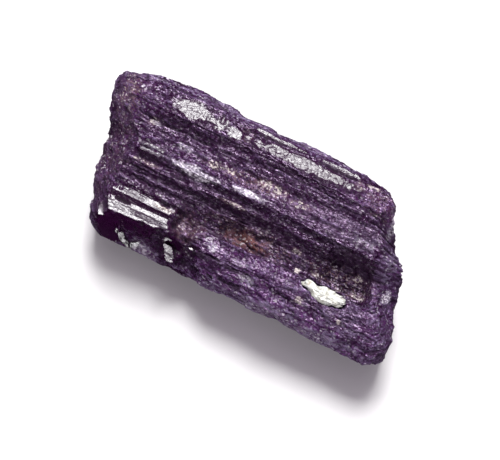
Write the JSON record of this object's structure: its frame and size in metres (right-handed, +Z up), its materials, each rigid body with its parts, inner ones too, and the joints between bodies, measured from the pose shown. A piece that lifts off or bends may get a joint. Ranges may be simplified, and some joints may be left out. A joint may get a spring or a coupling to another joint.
{
  "type": "tourmaline crystal",
  "caption": "Broken prism of black tourmaline with stepped, striated faces, a hollow in its front ledge and a pale mineral grain set in it, as a display specimen.",
  "frame": {"origin": "the middle of the bounding box's footprint, on the flat base that the crystal rests on", "axes": "+X along the prism's long axis, towards the end with the hollow and the grain; +Z up from the base; -Y towards the low front ledge"},
  "size_m": [0.0368, 0.018, 0.0135],
  "materials": {
    "tourmaline": "black with a violet cast, glassy on the prism faces and matte on the breaks",
    "pale_mineral": "cream white, slightly waxy"
  },
  "bodies": {
    "root": {"tourmaline_crystal": "tourmaline", "pale_grain": "pale_mineral"}
  },
  "joints": []
}
